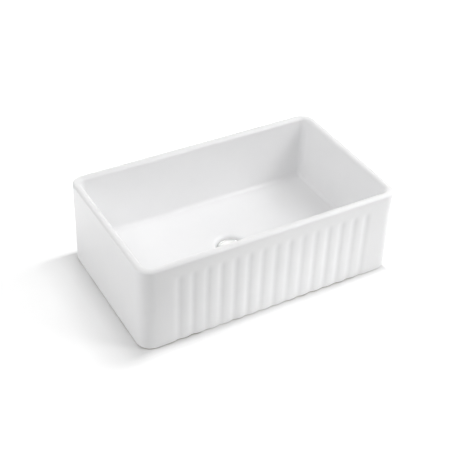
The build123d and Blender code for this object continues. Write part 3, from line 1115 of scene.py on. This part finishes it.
    def build(self) -> None:
        """Build the set and tie it to the bowl."""
        hand_over(self.waste_cup(), Body.BOWL, Slot.STAINLESS, ("waste_body",), None)
        hand_over(self.cross_bars(), Body.BOWL, Slot.STAINLESS, (), SATIN_STEEL)
        hand_over(self.cross_hub(), Body.BOWL, Slot.STAINLESS, (), SATIN_STEEL)
        gasket = flat_ring("flange_seal", self.gasket_bore, node_levels("flange_gasket"), self.gasket_round)
        hand_over(gasket, Body.BOWL, Slot.RUBBER, ("flange_gasket",), NITRILE)
        under = flat_ring("underside_seal", self.ring_bore, node_levels("underside_gasket"), self.ring_round)
        hand_over(under, Body.BOWL, Slot.RUBBER, ("underside_gasket",), NITRILE)
        slip = flat_ring(
            "polyethylene_slip_washer", self.ring_bore, node_levels("slip_washer"), self.slip_round
        )
        hand_over(slip, Body.BOWL, Slot.WASHER, ("slip_washer",), POLYTHENE)
        hand_over(self.backnut(), Body.BOWL, Slot.BRASS, ("backnut",), CAST_BRASS)


@dataclass
class StrainerBasket:
    """The lift-out basket: perforated cup, hub and catch ring."""

    radius: float = 21.6 * MM
    sheet: float = 0.8 * MM
    bend: float = 3 * MM
    rim_slope: float = math.tan(math.radians(8))
    rim_bend: float = 2.2 * MM
    rim_edge: float = 0.3 * MM
    floor_z: float = 24.3 * MM
    crease: float = math.radians(35)
    hub_radius: float = 5 * MM
    hub_bore: float = 2.58 * MM
    hub_top_round: float = 0.6 * MM
    hub_mouth_round: float = 0.4 * MM
    hub_foot_round: float = 0.3 * MM
    hub_edge: float = 0.2 * MM
    groove_radius: float = 3.6 * MM
    groove_z: float = 27.1 * MM
    groove_half: float = 0.55 * MM
    hole_radius: float = 1.5 * MM
    hole_sides: int = 20
    punch_length: float = 6.4 * MM
    wall_rows: int = 2
    wall_holes: int = 20
    wall_first_z: float = 32.1 * MM
    wall_row_pitch: float = 3.2 * MM
    floor_first_radius: float = 9.5 * MM
    floor_ring_pitch: float = 5 * MM
    floor_rings: int = 2
    floor_spacing: float = 5.6 * MM
    catch_radius: float = 3.05 * MM
    wire_radius: float = 0.45 * MM
    catch_arc: float = math.radians(320)
    catch_rows: int = 65
    wire_sides: int = 12

    def shell(self) -> bpy.types.Object:
        """The pressed cup with its dished rim, before it is perforated."""
        rim, _, top = node_levels("strainer_basket")
        inner, under = self.radius - self.sheet, top - self.sheet
        outline = [
            (self.hub_radius, self.floor_z, 0),
            (self.radius, self.floor_z, self.bend),
            (self.radius, under - (rim - self.radius) * self.rim_slope, self.rim_bend - self.sheet),
            (rim, under, self.rim_edge),
            (rim, top, self.rim_edge),
            (inner, top - (rim - inner) * self.rim_slope, self.rim_bend),
            (inner, self.floor_z + self.sheet, self.bend - self.sheet),
            (self.hub_radius, self.floor_z + self.sheet, 0),
        ]
        return spun("perforated_basket", outline, segments=160, steps=6)

    def perforate(self, shell: bpy.types.Object) -> bpy.types.Object:
        """Punch the holes of the wall and the floor.

        Args:
            shell: The cup.

        Returns:
            The perforated cup.
        """
        sizes = {
            "Hole Radius": self.hole_radius,
            "Punch Length": self.punch_length,
            "Wall Radius": self.radius,
            "Wall Top Row": self.wall_first_z,
            "Wall Row Pitch": self.wall_row_pitch,
            "First Ring": self.floor_first_radius,
            "Ring Pitch": self.floor_ring_pitch,
            "Hole Spacing": self.floor_spacing,
            "Floor": self.floor_z,
        }
        make = Recipe("perforation", sizes, SATIN_STEEL)
        hole = {"Vertices": self.hole_sides, "Radius": "Hole Radius", "Depth": "Punch Length"}
        punch = make.add("GeometryNodeMeshCylinder", hole)
        x, y, _ = make.add(SPLIT, {0: make.add("GeometryNodeInputPosition")}).outputs
        outward = make.add(JOIN, {"X": x, "Y": y})
        facing = make.add("FunctionNodeAlignRotationToVector", {"Vector": outward}, axis="Z")
        parts = []
        for row in range(self.wall_rows):
            drop = make.add(MATH, {0: "Wall Row Pitch", 1: float(row)}, operation="MULTIPLY")
            z = make.add(MATH, {0: "Wall Top Row", 1: drop}, operation="SUBTRACT")
            ring = make.add("GeometryNodeMeshCircle", {"Vertices": self.wall_holes, "Radius": "Wall Radius"})
            turn = Euler((0, 0, row * math.pi / self.wall_holes))
            spots = {"Geometry": ring, "Translation": make.add(JOIN, {"Z": z}), "Rotation": turn}
            holes = {"Points": make.add("GeometryNodeTransform", spots), "Instance": punch}
            parts.append(make.add("GeometryNodeInstanceOnPoints", {**holes, "Rotation": facing}))
        lift = make.add(JOIN, {"Z": "Floor"})
        for index in range(self.floor_rings):
            wider = make.add(MATH, {0: "Ring Pitch", 1: float(index)}, operation="MULTIPLY")
            radius = make.add(MATH, {0: "First Ring", 1: wider}, operation="ADD")
            around = make.add(MATH, {0: radius, 1: 2 * math.pi}, operation="MULTIPLY")
            share = make.add(MATH, {0: around, 1: "Hole Spacing"}, operation="DIVIDE")
            count = make.add("FunctionNodeFloatToInt", {0: share}, rounding_mode="FLOOR")
            ring = make.add("GeometryNodeMeshCircle", {"Vertices": count, "Radius": radius})
            spots = make.add("GeometryNodeTransform", {"Geometry": ring, "Translation": lift})
            parts.append(make.add("GeometryNodeInstanceOnPoints", {"Points": spots, "Instance": punch}))
        gathered = make.add("GeometryNodeJoinGeometry")
        for part in reversed(parts):
            make.tree.links.new(part.outputs[0], gathered.inputs[0])
        punches = make.add("GeometryNodeRealizeInstances", {"Geometry": gathered})
        meshes = {"Mesh 1": "Geometry", "Mesh 2": punches}
        holed = make.add("GeometryNodeMeshBoolean", meshes, operation="DIFFERENCE", solver="EXACT")
        made = make.bake(shell, holed)
        made.data.set_sharp_from_angle(angle=self.crease)
        return made

    def hub(self) -> bpy.types.Object:
        """The bush swaged into the floor, with the catch ring's groove in its bore."""
        flange, low, top = node_levels("basket_hub")
        groove_low, groove_high = self.groove_z - self.groove_half, self.groove_z + self.groove_half
        outline = [
            (self.hub_bore, low, self.hub_edge),
            (flange, low, self.hub_foot_round),
            (flange, self.floor_z, self.hub_edge),
            (self.hub_radius, self.floor_z, 0),
            (self.hub_radius, top, self.hub_top_round),
            (self.hub_bore, top, self.hub_mouth_round),
            (self.hub_bore, groove_high, 0),
            (self.groove_radius, groove_high, 0),
            (self.groove_radius, groove_low, 0),
            (self.hub_bore, groove_low, 0),
        ]
        return spun("basket_bush", outline, segments=64)

    def catch_wire(self) -> bpy.types.Object:
        """The open spring ring of round wire."""
        turns = np.linspace(0, 2 * math.pi, self.wire_sides, endpoint=False)
        radius = self.catch_radius + self.wire_radius * np.cos(turns)
        z = self.groove_z + self.wire_radius * np.sin(turns)
        rows = [ring_row(radius, bearing, z) for bearing in np.linspace(0, self.catch_arc, self.catch_rows)]
        return mesh_from_grid("catch_spring_ring", rows, closed_profile=False)

    def build(self) -> None:
        """Build the basket and tie it to its body."""
        hand_over(self.perforate(self.shell()), Body.BASKET, Slot.STAINLESS, ("strainer_basket",), None)
        hand_over(self.hub(), Body.BASKET, Slot.BRASS, ("basket_hub",), CAST_BRASS)
        hand_over(self.catch_wire(), Body.BASKET, Slot.SPRING, ("catch_ring",), SPRING_STEEL)


@dataclass
class Stopper:
    """The sliding stopper: post, knob, rubber seal, its plate, washer and nut."""

    post_radius: float = 2.5 * MM
    post_foot_round: float = 0.5 * MM
    post_top_round: float = 0.3 * MM
    groove_high: float = 27.1 * MM
    groove_low: float = 21.1 * MM
    # Height above and below a groove's middle, and how far the post is cut in there
    groove_form: tuple[tuple[float, float], ...] = (
        (-0.55 * MM, 0.0),
        (-0.28 * MM, 0.27 * MM),
        (0.0, 0.35 * MM),
        (0.28 * MM, 0.27 * MM),
        (0.55 * MM, 0.0),
    )
    thread_pitch: float = 0.8 * MM
    thread_depth: float = 0.4 * MM
    thread_gap: float = 0.3 * MM
    knob_neck: float = 5 * MM
    knob_neck_high: float = 32.7 * MM
    knob_round: float = 2.4 * MM
    knob_foot_rounds: tuple[float, float] = (0.2 * MM, 0.3 * MM)
    knob_under_rounds: tuple[float, float] = (0.8 * MM, 0.9 * MM)
    dome_share: float = 0.45
    dome_drops: tuple[float, float] = (0.5 * MM, 0.06 * MM)
    dome_round: float = 3 * MM
    bead_shares: tuple[float, float] = (0.8, 0.86)
    bead_height: float = 0.25 * MM
    bead_round: float = 0.3 * MM
    seal_lift: float = 0.1 * MM
    seal_round: float = 1.1 * MM
    disc_gap: float = 0.02 * MM
    plate_round: float = 0.25 * MM
    washer_round: float = 0.2 * MM
    nut_flats: float = 8 * MM
    nut_face_share: float = 0.97
    nut_slope: float = math.tan(math.radians(30))
    nut_crease: float = math.radians(25)
    nut_columns: int = 96

    def post(self) -> bpy.types.Object:
        """The post with its two catch grooves and the thread for the nut."""
        _, low, top = node_levels("stopper_post")
        radius = self.post_radius
        outline = [(0, low, 0), (radius, low, self.post_foot_round)]
        for z in (self.groove_low, self.groove_high):
            outline += [(radius - depth, z + above, 0) for above, depth in self.groove_form]
        outline += [(radius, top, self.post_top_round), (0, top, 0)]
        fine = {radius: self.thread_pitch / THREAD_ROWS}
        post = spun("stopper_stem", outline, segments=48, finest=fine)
        start, end = low + self.thread_gap, node_levels("seal_nut")[2]
        return Thread(radius, self.thread_pitch, self.thread_depth, start, end).cut(post, MIRROR_STEEL)

    def knob(self) -> bpy.types.Object:
        """The turned mushroom knob with a slightly domed top."""
        radius, low, top = node_levels("stopper_knob")
        post_top = node_levels("stopper_post")[2]
        outline = [
            (self.post_radius, low, self.knob_foot_rounds[0]),
            (self.knob_neck, low, self.knob_foot_rounds[1]),
            (self.knob_neck, self.knob_neck_high, self.knob_under_rounds[0]),
            (radius, self.knob_neck_high, self.knob_under_rounds[1]),
            (radius, top - self.dome_drops[0], self.knob_round),
            (radius * self.dome_share, top - self.dome_drops[1], self.dome_round),
            (0, top, 0),
            (0, post_top, 0),
            (self.post_radius, post_top, 0),
        ]
        return spun("stopper_knob_turned", outline, steps=8)

    def seal(self) -> bpy.types.Object:
        """The rubber disc with a moulded sealing bead near its edge."""
        radius, low, high = node_levels("stopper_seal")
        bead_start, bead_end = (radius * share for share in self.bead_shares)
        outline = [
            (self.post_radius, low, 0),
            (bead_start, low + self.bead_height, self.bead_round),
            (bead_end, low, self.bead_round),
            (radius, low + self.seal_lift, self.seal_round),
            (radius, high, self.seal_round),
            (self.post_radius, high, 0),
        ]
        return spun("rubber_stopper_disc", outline)

    def nut(self) -> bpy.types.Object:
        """The hexagon nut, with its corners turned back at both faces."""
        _, low, high = node_levels("seal_nut")
        angles = np.linspace(0, 2 * math.pi, self.nut_columns, endpoint=False)
        flats = self.nut_flats / 2 / np.cos((angles + math.pi / 6) % (math.pi / 3) - math.pi / 6)
        face, bore = self.nut_flats / 2 * self.nut_face_share, self.post_radius
        back = (flats - face) * self.nut_slope
        under = ((bore, low), (face, low), (flats, low + back))
        over = ((flats, high - back), (face, high), (bore, high))
        rows = [ring_row(radius, angles, z) for radius, z in under + over]
        nut = mesh_from_grid("seal_nut_hexagon", rows, closed_profile=True)
        nut.data.set_sharp_from_angle(angle=self.nut_crease)
        return nut

    def build(self) -> None:
        """Build the stopper and tie it to its body."""
        hand_over(self.post(), Body.STOPPER, Slot.STAINLESS, ("stopper_post",), None)
        hand_over(self.knob(), Body.STOPPER, Slot.STAINLESS, ("stopper_knob",), MIRROR_STEEL)
        hand_over(self.seal(), Body.STOPPER, Slot.RUBBER, ("stopper_seal",), NITRILE)
        bore = self.post_radius + self.disc_gap
        plate = flat_ring("seal_backing_plate", bore, node_levels("seal_plate"), self.plate_round, steps=3)
        hand_over(plate, Body.STOPPER, Slot.STAINLESS, ("seal_plate",), SATIN_STEEL)
        washer = flat_ring("seal_nut_washer", bore, node_levels("seal_washer"), self.washer_round, steps=3)
        hand_over(washer, Body.STOPPER, Slot.STAINLESS, ("seal_washer",), SATIN_STEEL)
        hand_over(self.nut(), Body.STOPPER, Slot.STAINLESS, ("seal_nut",), MIRROR_STEEL)


# ---------------------------------------------------------------- the studio


def seen_rays(make: Graph) -> bpy.types.Node:
    """1 on rays from the camera and its reflections, and 0 on the rays that light the sink."""
    rays = make.add("ShaderNodeLightPath")
    seen = rays.outputs["Is Camera Ray"]
    for kind in ("Is Glossy Ray", "Is Transmission Ray"):
        seen = make.add(MATH, {0: seen, 1: rays.outputs[kind]}, operation="MAXIMUM")
    return seen


@dataclass(frozen=True)
class Lamp:
    """A soft rectangular lamp that points at one spot."""

    name: str
    place: Point
    size: tuple[float, float]
    power: float
    aim: Point = (0.0, 0.0, 0.12)
    spread: float = math.pi

    def hang(self) -> bpy.types.Object:
        """Put the lamp in the scene."""
        data = bpy.data.lights.new(self.name, "AREA")
        data.shape = "RECTANGLE"
        data.size, data.size_y = self.size
        data.energy = self.power
        data.spread = self.spread
        lamp = placed(self.name, data)
        lamp.location = self.place
        way = Vector(self.aim) - Vector(self.place)
        lamp.rotation_mode = "QUATERNION"
        lamp.rotation_quaternion = way.to_track_quat("-Z", "Y")
        return lamp


@dataclass
class Studio:
    """Camera, floor, world and lamps.

    The floor glows a little on the rays that are seen, so that it fades from the shadow to the page's
    white. Each ramp has a start, an end and a gain, over a distance from the foot that is stretched
    on the left, in front, and on the right or behind. The insets are how far the shadow starts in
    from the right and from the back of the sink.
    """

    camera_at: Point = (-1.145, -1.912, 1.826)
    yaw: float = math.radians(-30.80)
    down: float = math.radians(37.73)
    roll: float = math.radians(2.34)
    lens: float = 79.83
    sensor: float = 36.0
    clip: tuple[float, float] = (0.05, 100.0)
    room_light: float = 0.1
    floor_half: float = 15.0
    floor_white: str = "E6E6E6"
    floor_stretch: Point = (1.0, 2.7, 8.0)
    floor_insets: tuple[float, float] = (17 * MM, 11 * MM)
    floor_ramps: tuple[Point, ...] = (
        (0.0, 50 * MM, 0.2),
        (50 * MM, 120 * MM, 0.17),
        (110 * MM, 190 * MM, 0.03),
        (450 * MM, 1300 * MM, 0.35),
        (1300 * MM, 4000 * MM, 0.25),
    )
    lamps: tuple[Lamp, ...] = (
        Lamp("lamp_right_high", (1.3, 0.0, 2.37), (1.3, 1.3), 9.2),
        Lamp("lamp_right", (2.1, 0.0, 1.65), (1.3, 1.3), 19.0),
        Lamp("lamp_right_front", (1.3, -1.3, 1.6), (0.9, 0.9), 14.9),
        Lamp("lamp_front", (0.0, -2.1, 1.65), (1.3, 1.3), 5.0),
        Lamp("lamp_foot", (0.9, -1.2, 0.5), (0.5, 0.3), 0.3, (0.0, -0.3, 0.0), math.radians(40)),
        Lamp("lamp_apron", (0.2, -1.5, 0.35), (0.6, 0.2), 0.05, (0.0, -0.25, 0.0), math.radians(30)),
        Lamp("lamp_left_high", (-1.3, 0.0, 2.37), (1.3, 1.3), 19.1),
        Lamp("lamp_left_low", (-2.54, 0.0, 0.66), (1.3, 1.3), 17.0),
        Lamp("lamp_back", (0.2, 1.8, 0.9), (1.0, 1.0), 10.6),
        Lamp("lamp_back_high", (0.76, 1.3, 2.0), (1.0, 1.0), 4.3),
    )

    def place_camera(self) -> None:
        """Set the camera where the photograph was taken from."""
        data = bpy.data.cameras.new("camera")
        data.lens = self.lens
        data.sensor_width = self.sensor
        data.clip_start, data.clip_end = self.clip
        camera = placed("camera", data)
        flat = math.cos(self.down)
        forward = Vector((-math.sin(self.yaw) * flat, math.cos(self.yaw) * flat, -math.sin(self.down)))
        camera.rotation_mode = "QUATERNION"
        upright = forward.to_track_quat("-Z", "Y")
        camera.rotation_quaternion = upright @ Euler((0, 0, self.roll)).to_quaternion()
        camera.location = self.camera_at
        bpy.context.scene.camera = camera

    def lay_floor(self) -> None:
        """Lay a plain white floor that keeps the shadow and fades to the page's white."""
        mesh = bpy.data.meshes.new("studio_floor")
        half = self.floor_half
        corners = [(-half, -half, 0), (half, -half, 0), (half, half, 0), (-half, half, 0)]
        mesh.from_pydata(corners, [], [(0, 1, 2, 3)])
        floor = placed("studio_floor", mesh)
        paper = bpy.data.materials.new("white_studio_paper")
        paper.use_nodes = True
        make = Graph(paper.node_tree)
        spot = make.add(SPLIT, {0: make.add("ShaderNodeTexCoord").outputs["Object"]})
        # Distance from the sink's foot, on its left, in front, and on its right or behind
        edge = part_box("sink_bowl")[1]
        right, back = edge.x - self.floor_insets[0], edge.y - self.floor_insets[1]
        sides = (("X", -1.0, edge.x), ("Y", -1.0, edge.y), ("X", 1.0, right), ("Y", 1.0, back))
        left_gap, front_gap, right_gap, back_gap = (
            make.add(MATH, {0: spot.outputs[axis], 1: sign, 2: -reach}, operation="MULTIPLY_ADD")
            for axis, sign, reach in sides
        )
        far = make.add(MATH, {0: right_gap, 1: back_gap}, operation="MAXIMUM")
        beyond = make.add(JOIN, {0: left_gap, 1: front_gap, 2: far})
        clear = make.add(VECTOR_MATH, {0: beyond, 1: (0.0, 0.0, 0.0)}, operation="MAXIMUM")
        scaled = make.add(VECTOR_MATH, {0: clear, 1: self.floor_stretch}, operation="MULTIPLY")
        away = make.add(VECTOR_MATH, {0: scaled}, operation="LENGTH").outputs["Value"]
        lift = 0.0
        for start, end, gain in self.floor_ramps:
            ramp = make.add(MAP_RANGE, {"Value": away, "From Min": start, "From Max": end, "To Max": gain})
            lift = make.add(MATH, {0: lift, 1: ramp}, operation="ADD")
        strength = make.add(MATH, {0: seen_rays(make), 1: lift}, operation="MULTIPLY")
        glow = make.add("ShaderNodeEmission", {"Strength": strength})
        matt = make.add("ShaderNodeBsdfDiffuse", {"Color": linear(self.floor_white)})
        both = make.add("ShaderNodeAddShader", {0: matt, 1: glow})
        make.add("ShaderNodeOutputMaterial", {"Surface": both})
        mesh.materials.append(paper)

    def fill_room(self) -> None:
        """Light the room evenly, and show it as plain white to the camera and in reflections."""
        world = bpy.data.worlds.new("white_room")
        world.use_nodes = True
        make = Graph(world.node_tree)
        white = {"Value": seen_rays(make), "To Min": self.room_light, "To Max": 1.0}
        glow = make.add("ShaderNodeBackground", {"Strength": make.add(MAP_RANGE, white)})
        make.add("ShaderNodeOutputWorld", {"Surface": glow})
        bpy.context.scene.world = world

    def build(self) -> None:
        """Set up the whole studio."""
        self.place_camera()
        self.lay_floor()
        self.fill_room()
        for lamp in self.lamps:
            lamp.hang()
        bpy.context.scene.view_settings.view_transform = "Standard"


def main() -> None:
    """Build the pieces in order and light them."""
    logging.basicConfig(level=logging.INFO, format="%(message)s")
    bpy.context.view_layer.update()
    bowl = SinkBowl().build()
    hand_over(bowl, Body.BOWL, Slot.GLAZE, ("sink_bowl",), None)
    WasteSet().build()
    StrainerBasket().build()
    Stopper().build()
    Studio().build()


if __name__ == "__main__":
    main()
